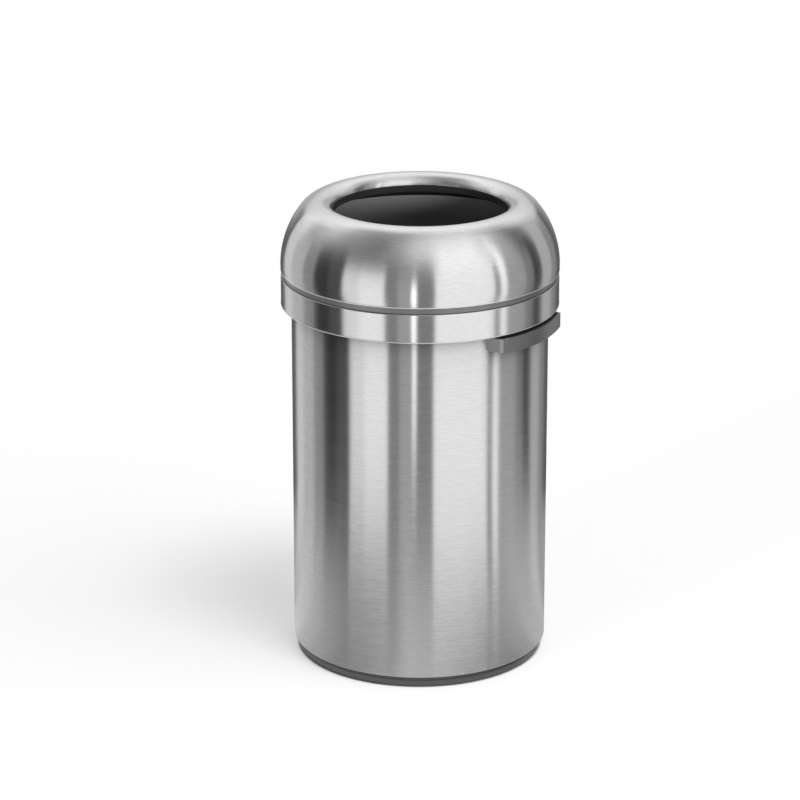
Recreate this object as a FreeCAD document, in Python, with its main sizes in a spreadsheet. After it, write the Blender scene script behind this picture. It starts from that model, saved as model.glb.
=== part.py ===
import FreeCAD, Part
import os
import Sketcher
from math import asin, degrees, sqrt
from types import SimpleNamespace

# Open-top round waste bin: a steel tube on a moulded base, a banded collar with two cup handles,
# and a lift-off steel dome with a round opening. Millimetres, +Z up, origin on the floor at the axis.

DIMENSIONS = (
    ("body_radius", 194, "outside of the steel tube"),
    ("body_gauge", 1, "sheet of the tube"),
    ("bend", 2, "outside radius of every turned-in sheet edge"),
    ("base_height", 17.3, "floor to the tube's lower edge"),
    ("band_level", 552, "floor to the band's lower edge"),
    ("band_height", 43.6, "height of the collar band"),
    ("band_gauge", 1, "sheet of the band"),
    ("band_top_flange", 4, "turned-in top edge of the band"),
    ("band_bottom_flange", 11, "turned-in lower edge of the band"),
    ("collar_step", 16, "how far the collar stands out from the tube"),
    ("collar_wall", 2.6, "walls of the collar moulding"),
    ("collar_roof", 3, "collar moulding above the tube's edge"),
    ("collar_skirt", 14, "collar's inner lip inside the tube"),
    ("land_width", 4.5, "ledge of the collar that carries the lid"),
    ("seat_depth", 9.6, "bag ring's seat below that ledge"),
    ("rivet_count", 8, "rivets that hold the collar on the tube"),
    ("rivet", 3.2, "diameter of a rivet's shank"),
    ("rivet_head", 6.4, "diameter of its head"),
    ("rivet_head_height", 1.2, "height of its head"),
    ("rivet_tail", 4.8, "diameter of its pulled end"),
    ("rivet_tail_height", 1.8, "height of its pulled end"),
    ("reveal", 9.4, "open strip between band and dome"),
    ("reveal_depth", 3.4, "how far the lid rim stands back there"),
    ("spigot_wall", 2.6, "wall of the lid's locating spigot"),
    ("spigot_depth", 8, "spigot below the ledge"),
    ("dome_height", 107, "dome's lower edge to its crown"),
    ("dome_gauge", 1, "sheet of the dome"),
    ("skirt_height", 7, "straight wall at the dome's foot"),
    ("shoulder_arc", 36.5, "radius of the shoulder beside the crown"),
    ("lip_roll", 19, "radius that rolls the crown down into the opening"),
    ("throat_radius", 132, "the opening"),
    ("hem_setback", 1.3, "dome hem's inner edge from the spigot's inner face"),
    ("throat_width", 4, "edging under the lip, across"),
    ("throat_drop", 7.8, "edging below the lip"),
    ("throat_rise", 4.5, "edging's tongue behind the lip"),
    ("throat_ease", 0.9, "tongue's lean away from the rolled lip"),
    ("throat_nose", 1.5, "rounding of the edging's lower edge"),
    ("liner_clearance", 1.1, "liner's upper edge below the dome's skin"),
    ("liner_draft", 0.6, "inward lean of the liner over its height"),
    ("liner_wall", 2.6, "liner wall at its foot"),
    ("liner_edge", 1.6, "liner wall at its upper edge"),
    ("liner_foot", 2.5, "thickness of the liner's foot"),
    ("liner_foot_gap", 2.4, "liner's foot to the dome's wall"),
    ("lid_screw_count", 8, "screws under the lid"),
    ("lid_screw_thread", 2.8, "diameter of a lid screw's shank"),
    ("lid_screw_head", 5.2, "diameter of a lid screw's head"),
    ("lid_screw_head_height", 1.8, "height of that head"),
    ("lid_screw_sink", 2.4, "depth of the head's pocket"),
    ("lid_boss_radius", 3.6, "bosses of the liner"),
    ("lid_boss_height", 13, "bosses above the liner's foot"),
    ("bag_flange", 3, "thickness of the bag ring's flange"),
    ("bag_skirt", 20, "depth of the bag ring's skirt"),
    ("bag_wall", 2.4, "wall of that skirt"),
    ("bag_gap", 3, "room for the bag between skirt and collar"),
    ("bag_clearance", 1.4, "bag ring's edge to the lid's spigot"),
    ("bag_tab_length", 44, "finger tabs of the bag ring"),
    ("bag_tab_rise", 7, "tabs above the flange"),
    ("bag_tab_count", 2, "tabs round the bag ring"),
    ("handle_proud", 3, "handle's face beyond the band"),
    ("handle_gap", 3, "handle below the band"),
    ("handle_height", 24.5, "height of a handle at its middle"),
    ("handle_half_width", 83, "half of a handle's length at the tube"),
    ("handle_draft", 3, "lean of each end over the handle's depth"),
    ("handle_wall", 4.5, "front wall of a handle"),
    ("handle_roof", 4, "top wall of a handle"),
    ("handle_sag", 4, "rise of the lower edge towards the ends"),
    ("handle_round", 2.4, "rounding of a handle's outer edges"),
    ("trough_depth", 2.2, "trough in a handle's top"),
    ("trough_back_wall", 2.4, "wall between that trough and the tube"),
    ("end_block", 21, "solid end of a handle"),
    ("boss_wall", 4, "handle's wall beside an insert"),
    ("insert_radius", 3.5, "brass insert"),
    ("insert_length", 9, "length of the insert"),
    ("handle_screw", 5, "diameter of a handle screw's shank"),
    ("handle_screw_head", 9, "diameter of its head"),
    ("handle_screw_head_height", 3.2, "height of its head"),
    ("washer_radius", 6, "washer under that head"),
    ("washer_gauge", 1.2, "thickness of the washer"),
    ("tier_inset", 2.8, "base tier inside the tube's line"),
    ("tier_height", 4.1, "thin tier under the steel"),
    ("groove_height", 1.2, "shadow groove under the tier"),
    ("groove_depth", 1.4, "how far the groove stands back"),
    ("foot_inset", 7.2, "foot inside the tube's line, at the floor"),
    ("foot_draft", 1.6, "outward lean of the foot over its height"),
    ("foot_lift", 1, "base moulding above the floor"),
    ("base_wall", 3, "walls of the base moulding"),
    ("base_web", 2.5, "web above the tread ring"),
    ("base_inner_height", 12, "top of the base's inner wall"),
    ("tread_width", 6.8, "channel of the rubber tread ring"),
    ("tread_height", 5.8, "height of the rubber tread ring"),
    ("base_screw_count", 8, "screws in the floor"),
    ("base_screw", 3.2, "diameter of a floor screw's shank"),
    ("base_screw_head", 7, "diameter of its head"),
    ("base_screw_head_height", 2.2, "height of its head"),
    ("base_screw_length", 10, "shank below the tube's hem"),
    ("pan_gauge", 1.2, "sheet of the floor pan"),
    ("pan_gap", 1, "floor pan's edge to the tube"),
    ("pan_rim", 24, "flat rim of the floor pan"),
    ("pan_slope", 6, "width of the slope into the dish"),
    ("pan_dish", 6, "depth of the dish"),
    ("fit_gap", 0.2, "between pieces that are fixed together"),
    ("seat_gap", 0.3, "under a piece that lifts off"),
    ("slide_gap", 0.5, "beside a piece that lifts off"),
    ("hole_gap", 0.2, "between a shank and its hole"),
)

doc = FreeCAD.newDocument("WasteBin")
sheet = doc.addObject("Spreadsheet::Sheet", "Sizes")


class Size:
    """A measure: the text that an object is bound to, and what that text comes to."""

    def __init__(self, text, value):
        self.text = text
        self.value = value

    def __add__(self, other):
        return Size(f"({self.text} + {size_of(other).text})", self.value + size_of(other).value)

    def __sub__(self, other):
        return Size(f"({self.text} - {size_of(other).text})", self.value - size_of(other).value)

    def __mul__(self, other):
        return Size(f"({self.text} * {size_of(other).text})", self.value * size_of(other).value)

    def __truediv__(self, other):
        return Size(f"({self.text} / {size_of(other).text})", self.value / size_of(other).value)

    def __neg__(self):
        return Size(f"(-{self.text})", -self.value)


def size_of(number):
    return number if isinstance(number, Size) else Size(repr(float(number)), float(number))


def root(size):
    return Size(f"sqrt({size.text})", sqrt(size.value))


def leg(long_side, other):
    """The third side of a right triangle, from its longest side and one other."""
    return root(long_side * long_side - other * other)


def fill_sheet():
    named = SimpleNamespace()
    for row, (name, value, meaning) in enumerate(DIMENSIONS, start=1):
        sheet.set(f"A{row}", name)
        sheet.set(f"B{row}", str(value))
        sheet.set(f"C{row}", meaning)
        sheet.setAlias(f"B{row}", name)
        setattr(named, name, Size(f"Sizes.{name}", float(value)))
    return named


dims = fill_sheet()
doc.recompute()


def new_body(label):
    body = doc.addObject("PartDesign::Body", label)
    body.Label = label
    return body


def origin_part(body, role):
    return next(item for item in body.Origin.OriginFeatures if item.Role == role)


def bind(item, path, size):
    item.setExpression(path, size_of(size).text)


def arc_between(start, end, radius):
    """The short arc from start to end: a positive radius bends it to the left, a negative to the right."""
    run = end - start
    reach = sqrt(max(radius**2 - (run.Length / 2) ** 2, 0))
    left = FreeCAD.Vector(-run.y, run.x, 0).normalize()
    centre = (start + end) * 0.5 + left * (reach if radius > 0 else -reach)
    circle = Part.Circle(centre, FreeCAD.Vector(0, 0, 1), abs(radius))
    first, last = (start, end) if radius > 0 else (end, start)
    return Part.ArcOfCircle(circle, circle.parameter(first), circle.parameter(last))


def new_sketch(body, plane, name, shift, turn):
    """A sketch on one of the body's planes, moved by shift in the plane's own axes and turned about
    the plane's upward axis."""
    sketch = body.newObject("Sketcher::SketchObject", name)
    sketch.AttachmentSupport = [(origin_part(body, plane), "")]
    sketch.MapMode = "FlatFace"
    upward = FreeCAD.Vector(0, 1, 0)
    moves = [size_of(step) for step in shift]
    place = FreeCAD.Vector(*(step.value for step in moves))
    sketch.AttachmentOffset = FreeCAD.Placement(place, FreeCAD.Rotation(upward, size_of(turn).value))
    for axis, step in zip("xyz", moves):
        bind(sketch, f"AttachmentOffset.Base.{axis}", step)
    if turn:
        bind(sketch, "AttachmentOffset.Rotation.Angle", turn)
    return sketch


def hold(sketch, kind, edge, end, size, name):
    """Ties one point of the sketch to a measure from the sketch's origin."""
    if size_of(size).value == 0:
        axis = -2 if kind == "DistanceX" else -1
        sketch.addConstraint(Sketcher.Constraint("PointOnObject", edge, end, axis))
        return
    tie = sketch.addConstraint(Sketcher.Constraint(kind, -1, 1, edge, end, size_of(size).value))
    sketch.renameConstraint(tie, name)
    bind(sketch, f"Constraints.{name}", size)


def outline(body, plane, name, points, shift=(0, 0, 0), turn=0):
    """A closed outline through (across, up) points; a third entry is the radius of the arc that
    arrives at that point."""
    sketch = new_sketch(body, plane, name, shift, turn)
    places = [FreeCAD.Vector(size_of(point[0]).value, size_of(point[1]).value, 0) for point in points]
    ends = []
    for index, point in enumerate(points):
        start, end = places[index - 1], places[index]
        radius = point[2].value if len(point) == 3 else 0
        sketch.addGeometry(arc_between(start, end, radius) if radius else Part.LineSegment(start, end))
        ends.append((2, 1) if radius < 0 else (1, 2))
    for index, point in enumerate(points):
        following = (index + 1) % len(points)
        joint = Sketcher.Constraint("Coincident", index, ends[index][1], following, ends[following][0])
        sketch.addConstraint(joint)
    for index, point in enumerate(points):
        hold(sketch, "DistanceX", index, ends[index][1], point[0], f"across_{index}")
        hold(sketch, "DistanceY", index, ends[index][1], point[1], f"up_{index}")
        if len(point) == 3:
            radius = point[2] if point[2].value > 0 else -point[2]
            tie = sketch.addConstraint(Sketcher.Constraint("Radius", index, radius.value))
            sketch.renameConstraint(tie, f"arc_{index}")
            bind(sketch, f"Constraints.arc_{index}", radius)
    return sketch


def circle_outline(body, plane, name, across, up, radius, shift=(0, 0, 0), turn=0):
    """A sketch of one circle."""
    sketch = new_sketch(body, plane, name, shift, turn)
    centre = FreeCAD.Vector(size_of(across).value, size_of(up).value, 0)
    sketch.addGeometry(Part.Circle(centre, FreeCAD.Vector(0, 0, 1), radius.value))
    hold(sketch, "DistanceX", 0, 3, across, "across")
    hold(sketch, "DistanceY", 0, 3, up, "up")
    tie = sketch.addConstraint(Sketcher.Constraint("Radius", 0, radius.value))
    sketch.renameConstraint(tie, "radius")
    bind(sketch, "Constraints.radius", radius)
    return sketch


def revolve(body, sketch, name, axis="V_Axis"):
    feature = body.newObject("PartDesign::Revolution", name)
    feature.Profile = sketch
    feature.ReferenceAxis = (sketch, [axis])
    feature.Angle = 360
    return feature


def pad(body, sketch, name, length):
    feature = body.newObject("PartDesign::Pad", name)
    feature.Profile = sketch
    feature.Length = length.value
    bind(feature, "Length", length)
    return feature


def cut(body, sketch, name, length=None):
    """Cuts along the sketch's normal for a length, or right through both ways, and fails if the solid
    has no less volume and no more faces after it."""
    doc.recompute()
    before = body.Shape.Volume
    faces_before = len(body.Shape.Faces)
    feature = body.newObject("PartDesign::Pocket", name)
    feature.Profile = sketch
    if length is None:
        feature.Type = "ThroughAll"
        feature.SideType = "Symmetric"
    else:
        feature.Reversed = True
        feature.Length = length.value
        bind(feature, "Length", length)
    doc.recompute()
    if body.Shape.Volume >= before and len(body.Shape.Faces) <= faces_before:
        raise ValueError(f"{body.Label}: {name} cuts nothing")
    return feature


def ring_of(body, features, name, count):
    """Repeats features evenly round the bin's axis."""
    pattern = body.newObject("PartDesign::PolarPattern", name)
    pattern.Originals = features
    pattern.Axis = (origin_part(body, "Z_Axis"), [""])
    pattern.Angle = 360
    pattern.Occurrences = int(size_of(count).value)
    bind(pattern, "Occurrences", count)
    body.Tip = pattern
    return pattern


def turned_piece(label, points):
    """A piece that is one outline turned about the bin's axis."""
    body = new_body(label)
    revolve(body, outline(body, "XZ_Plane", f"{label}_outline", points), f"{label}_turned")
    return body


# Radii and levels that several pieces share
rim_radius = dims.body_radius + dims.collar_step
tube_inside = dims.body_radius - dims.body_gauge
band_top = dims.band_level + dims.band_height
dome_level = band_top + dims.reveal
seat_level = band_top - dims.seat_depth
tube_top = seat_level - dims.collar_roof
land_outer = rim_radius - dims.band_top_flange - dims.fit_gap
land_inner = land_outer - dims.land_width
spigot_outer = land_inner - dims.slide_gap
spigot_inner = spigot_outer - dims.spigot_wall
lid_rim_radius = rim_radius - dims.reveal_depth
lid_screw_circle = (spigot_outer + lid_rim_radius) / 2
foot_radius = dims.body_radius - dims.foot_inset
channel_outer = foot_radius - dims.base_wall
channel_inner = channel_outer - dims.tread_width
base_screw_circle = (channel_outer + channel_inner) / 2
handle_top = dims.band_level - dims.handle_gap
handle_bottom = handle_top - dims.handle_height
handle_middle = handle_top - dims.handle_height / 2
handle_radius = rim_radius + dims.handle_proud
handle_back = dims.body_radius + dims.fit_gap
finger_half_width = dims.handle_half_width - dims.end_block
handle_screw_offset = finger_half_width + dims.boss_wall + dims.insert_radius
screw_sine = handle_screw_offset / dims.body_radius
handle_screw_turn = Size(f"asin({screw_sine.text})", degrees(asin(screw_sine.value)))
handle_screw_turns = (handle_screw_turn, -handle_screw_turn)
collar_slot_inner = tube_inside - dims.fit_gap
collar_slot_outer = dims.body_radius + dims.fit_gap
collar_bore = collar_slot_inner - dims.collar_wall
collar_skirt_foot = seat_level - dims.collar_skirt
rivet_level = (collar_skirt_foot + tube_top) / 2
half_turn = size_of(180)
rivet_turn = half_turn / dims.rivet_count


def turned_edge(radius, level, gauge, side):
    """The ends of the two arcs of a sheet edge that is turned in at a level, outside and inside; side is
    1 where the wall stands above that level and -1 where it hangs below it."""
    wall_level = level + dims.bend * side
    outside = ((radius - dims.bend, level), (radius, wall_level))
    inside = ((radius - gauge, wall_level), (radius - dims.bend, level + gauge * side))
    return outside, inside


# Steel tube: rolled sheet, closed at the rear, its lower edge turned in as a hem for floor and base
def make_body_shell():
    hem_outside, hem_inside = turned_edge(dims.body_radius, dims.base_height, dims.body_gauge, 1)
    top = tube_top - dims.fit_gap
    body = turned_piece("body_shell", [
        (channel_inner, dims.base_height),
        hem_outside[0],
        (*hem_outside[1], dims.bend),
        (dims.body_radius, top),
        (tube_inside, top),
        hem_inside[0],
        (*hem_inside[1], -(dims.bend - dims.body_gauge)),
        (channel_inner, dims.base_height + dims.body_gauge),
    ])
    shank_hole = dims.base_screw / 2 + dims.hole_gap
    hole = circle_outline(body, "XY_Plane", "hem_hole", base_screw_circle, 0, shank_hole)
    ring_of(body, [cut(body, hole, "hem_hole_cut")], "hem_holes", dims.base_screw_count)
    for index, turn in enumerate(handle_screw_turns):
        bore = dims.handle_screw / 2 + dims.hole_gap
        hole = circle_outline(body, "YZ_Plane", f"handle_hole_{index}", 0, handle_middle, bore, turn=turn)
        cut(body, hole, f"handle_hole_cut_{index}")
    rivet_holes(body)
    return body


# Base: one dark moulding with a tier under the steel, a groove, a leaning foot and a channel below
def make_base_ring():
    tier_radius = dims.body_radius - dims.tier_inset
    top = dims.base_height - dims.fit_gap
    tier_bottom = top - dims.tier_height
    foot_top = tier_bottom - dims.groove_height
    foot_top_radius = foot_radius + dims.foot_draft
    groove_radius = foot_top_radius - dims.groove_depth
    web_bottom = dims.tread_height + dims.fit_gap
    web_top = web_bottom + dims.base_web
    inner_wall = channel_inner - dims.base_wall
    body = turned_piece("base_ring", [
        (foot_radius, dims.foot_lift),
        (foot_top_radius, foot_top),
        (groove_radius, foot_top),
        (groove_radius, tier_bottom),
        (tier_radius, tier_bottom),
        (tier_radius, top),
        (channel_outer, top),
        (channel_outer, web_top),
        (channel_inner, web_top),
        (channel_inner, dims.base_inner_height),
        (inner_wall, dims.base_inner_height),
        (inner_wall, dims.foot_lift),
        (channel_inner, dims.foot_lift),
        (channel_inner, web_bottom),
        (channel_outer, web_bottom),
        (channel_outer, dims.foot_lift),
    ])
    boss_radius = dims.tread_width / 2 + dims.fit_gap
    boss = circle_outline(
        body, "XY_Plane", "boss", base_screw_circle, 0, boss_radius, shift=(0, 0, web_bottom)
    )
    boss_pad = pad(body, boss, "boss_pad", top - web_bottom)
    ring_of(body, [boss_pad], "bosses", dims.base_screw_count)
    pilot_radius = dims.base_screw / 2 + dims.hole_gap
    pilot = circle_outline(body, "XY_Plane", "pilot", base_screw_circle, 0, pilot_radius)
    ring_of(body, [cut(body, pilot, "pilot_cut")], "pilots", dims.base_screw_count)
    return body


# Tread: rubber ring pressed into the base's channel, the only thing that meets the floor
def make_foot_ring():
    outer = channel_outer - dims.fit_gap
    inner = channel_inner + dims.fit_gap
    return turned_piece("foot_ring", [
        (inner, 0),
        (outer, 0),
        (outer, dims.tread_height),
        (inner, dims.tread_height),
    ])


# Floor: dished steel pan that lies on the tube's hem
def make_floor_pan():
    rim = dims.base_height + dims.body_gauge + dims.fit_gap
    floor = rim - dims.pan_dish
    outer = tube_inside - dims.pan_gap
    slope_top = outer - dims.pan_rim
    slope_bottom = slope_top - dims.pan_slope
    body = turned_piece("floor_pan", [
        (0, floor),
        (slope_bottom, floor),
        (slope_top, rim),
        (outer, rim),
        (outer, rim + dims.pan_gauge),
        (slope_top - dims.pan_gauge / 2, rim + dims.pan_gauge),
        (slope_bottom - dims.pan_gauge / 2, floor + dims.pan_gauge),
        (0, floor + dims.pan_gauge),
    ])
    shank_hole = dims.base_screw / 2 + dims.hole_gap
    hole = circle_outline(body, "XY_Plane", "floor_hole", base_screw_circle, 0, shank_hole)
    ring_of(body, [cut(body, hole, "floor_hole_cut")], "floor_holes", dims.base_screw_count)
    return body


def upright_screws(label, circle, count, head, head_level, head_height, shank, tip_level):
    """A ring of equal upright screws on a circle round the bin's axis; a head below its level has a
    negative height."""
    body = new_body(label)
    sketch = outline(body, "XZ_Plane", f"{label}_outline", [
        (0, tip_level),
        (shank / 2, tip_level),
        (shank / 2, head_level),
        (head / 2, head_level),
        (head / 2, head_level + head_height),
        (0, head_level + head_height),
    ], shift=(circle, 0, 0))
    ring_of(body, [revolve(body, sketch, f"{label}_turned")], f"{label}_ring", count)
    return body


# Floor screws: heads on the pan, shanks down through the hem into the base's bosses
def make_base_screws():
    hem_top = dims.base_height + dims.body_gauge
    head_level = hem_top + dims.fit_gap + dims.pan_gauge + dims.fit_gap
    return upright_screws(
        "base_screws", base_screw_circle, dims.base_screw_count, dims.base_screw_head, head_level,
        dims.base_screw_head_height, dims.base_screw, dims.base_height - dims.base_screw_length,
    )


# Collar: grey moulding, a channel turned down over the tube's edge, with a ledge and a seat on top
def make_collar_ring():
    outer = rim_radius - dims.band_gauge - dims.fit_gap
    foot = dims.band_level + dims.band_gauge + dims.fit_gap
    shoulder = band_top - dims.band_gauge - dims.fit_gap
    ease = dims.bend - dims.band_gauge
    body = turned_piece("collar_ring", [
        (outer - ease, foot),
        (outer, foot + ease),
        (outer, shoulder - ease),
        (outer - ease, shoulder),
        (land_outer, shoulder),
        (land_outer, band_top),
        (land_inner, band_top),
        (land_inner, seat_level),
        (collar_bore, seat_level),
        (collar_bore, collar_skirt_foot),
        (collar_slot_inner, collar_skirt_foot),
        (collar_slot_inner, tube_top),
        (collar_slot_outer, tube_top),
        (collar_slot_outer, foot),
        (collar_slot_outer + dims.collar_wall, foot),
        (collar_slot_outer + dims.collar_wall, tube_top),
        (outer - dims.collar_wall, tube_top),
        (outer - dims.collar_wall, foot),
    ])
    rivet_holes(body)
    return body


def rivet_holes(body):
    """Holes for the collar's rivets, from the bin's axis out to the collar's hollow."""
    bore = dims.rivet / 2 + dims.hole_gap
    hole = circle_outline(body, "YZ_Plane", "rivet_hole", 0, rivet_level, bore, turn=rivet_turn)
    reach = collar_slot_outer + dims.collar_wall + dims.fit_gap
    ring_of(body, [cut(body, hole, "rivet_hole_cut", reach)], "rivet_holes", dims.rivet_count)


# Rivets: pulled from inside, through the collar's lip, the tube and the collar's next wall
def make_collar_rivets():
    body = new_body("collar_rivets")
    head_outer = collar_bore - dims.fit_gap
    head_inner = head_outer - dims.rivet_head_height
    tail_inner = collar_slot_outer + dims.collar_wall + dims.fit_gap
    tail_outer = tail_inner + dims.rivet_tail_height
    sketch = outline(body, "XZ_Plane", "rivet", [
        (head_inner, 0),
        (tail_outer, 0),
        (tail_outer, dims.rivet_tail / 2),
        (tail_inner, dims.rivet_tail / 2),
        (tail_inner, dims.rivet / 2),
        (head_outer, dims.rivet / 2),
        (head_outer, dims.rivet_head / 2),
        (head_inner, dims.rivet_head / 2),
    ], shift=(0, rivet_level, 0), turn=rivet_turn)
    ring_of(body, [revolve(body, sketch, "rivet_turned", "H_Axis")], "rivets", dims.rivet_count)
    return body


# Band: brushed strip round the collar, both edges turned in over the moulding
def make_collar_band():
    low_outside, low_inside = turned_edge(rim_radius, dims.band_level, dims.band_gauge, 1)
    top_outside, top_inside = turned_edge(rim_radius, band_top, dims.band_gauge, -1)
    inside_bend = dims.bend - dims.band_gauge
    return turned_piece("collar_band", [
        (rim_radius - dims.band_bottom_flange, dims.band_level),
        low_outside[0],
        (*low_outside[1], dims.bend),
        top_outside[1],
        (*top_outside[0], dims.bend),
        (rim_radius - dims.band_top_flange, band_top),
        (rim_radius - dims.band_top_flange, band_top - dims.band_gauge),
        top_inside[1],
        (*top_inside[0], -inside_bend),
        low_inside[0],
        (*low_inside[1], -inside_bend),
        (rim_radius - dims.band_bottom_flange, dims.band_level + dims.band_gauge),
    ])


# Handle: moulded cup grip, open below for the fingers, its ends solid round the brass inserts; a trough
# along its top leaves a shadow line under the band
def make_handle(label, turn):
    body = new_body(label)
    face_half_width = dims.handle_half_width - dims.handle_draft
    back = leg(handle_back, dims.handle_half_width)
    front = leg(handle_radius, face_half_width)
    below = handle_bottom - dims.handle_sag
    plan = outline(body, "XY_Plane", "plan", [
        (back, -dims.handle_half_width, -handle_back),
        (front, -face_half_width),
        (front, face_half_width, handle_radius),
        (back, dims.handle_half_width),
    ], shift=(0, 0, below))
    pad(body, plan, "block", handle_top - below)
    sag_half_width = dims.handle_half_width + dims.handle_draft
    sag_end = handle_bottom + dims.handle_sag
    sag_square = sag_half_width * sag_half_width + dims.handle_sag * dims.handle_sag
    sag_arc = sag_square / (dims.handle_sag * 2)
    sag = outline(body, "YZ_Plane", "lower_edge", [
        (-sag_half_width, below - dims.handle_sag),
        (sag_half_width, below - dims.handle_sag),
        (sag_half_width, sag_end),
        (-sag_half_width, sag_end, -sag_arc),
    ])
    block = cut(body, sag, "lower_edge_cut")
    touched = outer_edges(body)
    rounded = body.newObject("PartDesign::Fillet", "outer_rounds")
    rounded.Base = (block, touched)
    rounded.Radius = dims.handle_round.value
    bind(rounded, "Radius", dims.handle_round)
    cup_front = leg(handle_radius - dims.handle_wall, finger_half_width)
    cup = outline(body, "XY_Plane", "finger_cup", [
        (back, -finger_half_width),
        (cup_front, -finger_half_width),
        (cup_front, finger_half_width, handle_radius - dims.handle_wall),
        (back, finger_half_width),
    ], shift=(0, 0, below))
    cut(body, cup, "finger_cup_cut", handle_top - dims.handle_roof - below)
    trough_half_width = face_half_width - dims.handle_wall
    trough_front = handle_radius - dims.handle_wall
    trough_back = handle_back + dims.trough_back_wall
    trough = outline(body, "XY_Plane", "trough", [
        (leg(trough_back, trough_half_width), -trough_half_width, -trough_back),
        (leg(trough_front, trough_half_width), -trough_half_width),
        (leg(trough_front, trough_half_width), trough_half_width, trough_front),
        (leg(trough_back, trough_half_width), trough_half_width),
    ], shift=(0, 0, handle_top - dims.trough_depth))
    cut(body, trough, "trough_cut", dims.trough_depth)
    insert_depth = handle_back + dims.insert_length + dims.slide_gap + dims.fit_gap
    for index, screw_turn in enumerate(handle_screw_turns):
        bore = dims.insert_radius + dims.fit_gap / 2
        hole = circle_outline(
            body, "YZ_Plane", f"insert_bore_{index}", 0, handle_middle, bore, turn=screw_turn
        )
        cut(body, hole, f"insert_bore_cut_{index}", insert_depth)
    body.Placement = FreeCAD.Placement(
        FreeCAD.Vector(0, 0, 0), FreeCAD.Rotation(FreeCAD.Vector(0, 0, 1), size_of(turn).value)
    )
    return body


def outer_edges(body):
    """Edges of the handle's block that meet its outer face, where the hand comes."""
    names = []
    for index, edge in enumerate(body.Shape.Edges, start=1):
        reach = max(sqrt(vertex.X**2 + vertex.Y**2) for vertex in edge.Vertexes)
        if reach > rim_radius.value:
            names.append(f"Edge{index}")
    return names


def radial_pieces(label, points):
    """Four equal turned pieces whose axes point from the bin's axis to the handles' ends."""
    body = new_body(label)
    turned = []
    for index, turn in enumerate(handle_screw_turns):
        sketch = outline(
            body, "XZ_Plane", f"{label}_outline_{index}", points, shift=(0, handle_middle, 0), turn=turn
        )
        turned.append(revolve(body, sketch, f"{label}_turned_{index}", "H_Axis"))
    handles = 2
    ring_of(body, turned, f"{label}_pairs", handles)
    return body


washer_outer = tube_inside - dims.fit_gap
washer_inner = washer_outer - dims.washer_gauge
insert_start = handle_back + dims.slide_gap
insert_end = insert_start + dims.insert_length


# Washers: flat steel, spread the handle screws' pull on the tube's inside
def make_handle_washers():
    bore = dims.handle_screw / 2 + dims.hole_gap
    return radial_pieces("handle_washers", [
        (washer_inner, bore),
        (washer_outer, bore),
        (washer_outer, dims.washer_radius),
        (washer_inner, dims.washer_radius),
    ])


# Handle screws: pan heads inside the tube, shanks out into the inserts
def make_handle_screws():
    head_inner = washer_inner - dims.handle_screw_head_height
    return radial_pieces("handle_screws", [
        (head_inner, 0),
        (insert_end, 0),
        (insert_end, dims.handle_screw / 2),
        (washer_inner, dims.handle_screw / 2),
        (washer_inner, dims.handle_screw_head / 2),
        (head_inner, dims.handle_screw_head / 2),
    ])


# Inserts: threaded brass sleeves in the handles' solid ends
def make_handle_inserts():
    bore = dims.handle_screw / 2 + dims.hole_gap / 2
    return radial_pieces("handle_inserts", [
        (insert_start, bore),
        (insert_end, bore),
        (insert_end, dims.insert_radius),
        (insert_start, dims.insert_radius),
    ])


# Bag ring: loose moulding in the collar's seat; the bag folds over its skirt, two tabs lift it
def make_bag_ring():
    skirt_outer = collar_bore - dims.bag_gap
    skirt_inner = skirt_outer - dims.bag_wall
    flange_outer = spigot_inner - dims.bag_clearance
    flange_bottom = seat_level + dims.seat_gap
    flange_top = flange_bottom + dims.bag_flange
    body = turned_piece("bag_ring", [
        (skirt_inner, flange_top - dims.bag_skirt),
        (skirt_outer, flange_top - dims.bag_skirt),
        (skirt_outer, flange_bottom),
        (flange_outer, flange_bottom),
        (flange_outer, flange_top),
        (skirt_inner, flange_top),
    ])
    half_length = dims.bag_tab_length / 2
    tab = outline(body, "XY_Plane", "tab", [
        (leg(skirt_inner, half_length), -half_length, -skirt_inner),
        (leg(skirt_outer, half_length), -half_length),
        (leg(skirt_outer, half_length), half_length, skirt_outer),
        (leg(skirt_inner, half_length), half_length),
    ], shift=(0, 0, flange_bottom))
    tab_pad = pad(body, tab, "tab_pad", dims.bag_flange + dims.bag_tab_rise)
    ring_of(body, [tab_pad], "tabs", dims.bag_tab_count)
    return body


# Lid rim: grey moulding under the dome, seen in the reveal; its spigot centres the lid in the collar
def make_lid_rim():
    underside = band_top + dims.seat_gap
    top = dome_level - dims.fit_gap
    tip = band_top - dims.spigot_depth
    lead_in = dims.spigot_wall / 2
    body = turned_piece("lid_rim", [
        (lid_rim_radius, underside),
        (lid_rim_radius, top),
        (spigot_inner, top),
        (spigot_inner, tip),
        (spigot_outer - lead_in, tip),
        (spigot_outer, tip + lead_in),
        (spigot_outer, underside),
    ])
    head_radius = dims.lid_screw_head / 2 + dims.hole_gap
    pocket = circle_outline(
        body, "XY_Plane", "head_pocket", lid_screw_circle, 0, head_radius, shift=(0, 0, tip)
    )
    pocket_depth = dims.spigot_depth + dims.seat_gap + dims.lid_screw_sink
    sunk = cut(body, pocket, "head_pocket_cut", pocket_depth)
    shank = dims.lid_screw_thread / 2 + dims.hole_gap
    bore = circle_outline(body, "XY_Plane", "shank_bore", lid_screw_circle, 0, shank)
    bored = cut(body, bore, "shank_bore_cut")
    ring_of(body, [sunk, bored], "screw_places", dims.lid_screw_count)
    return body


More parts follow.
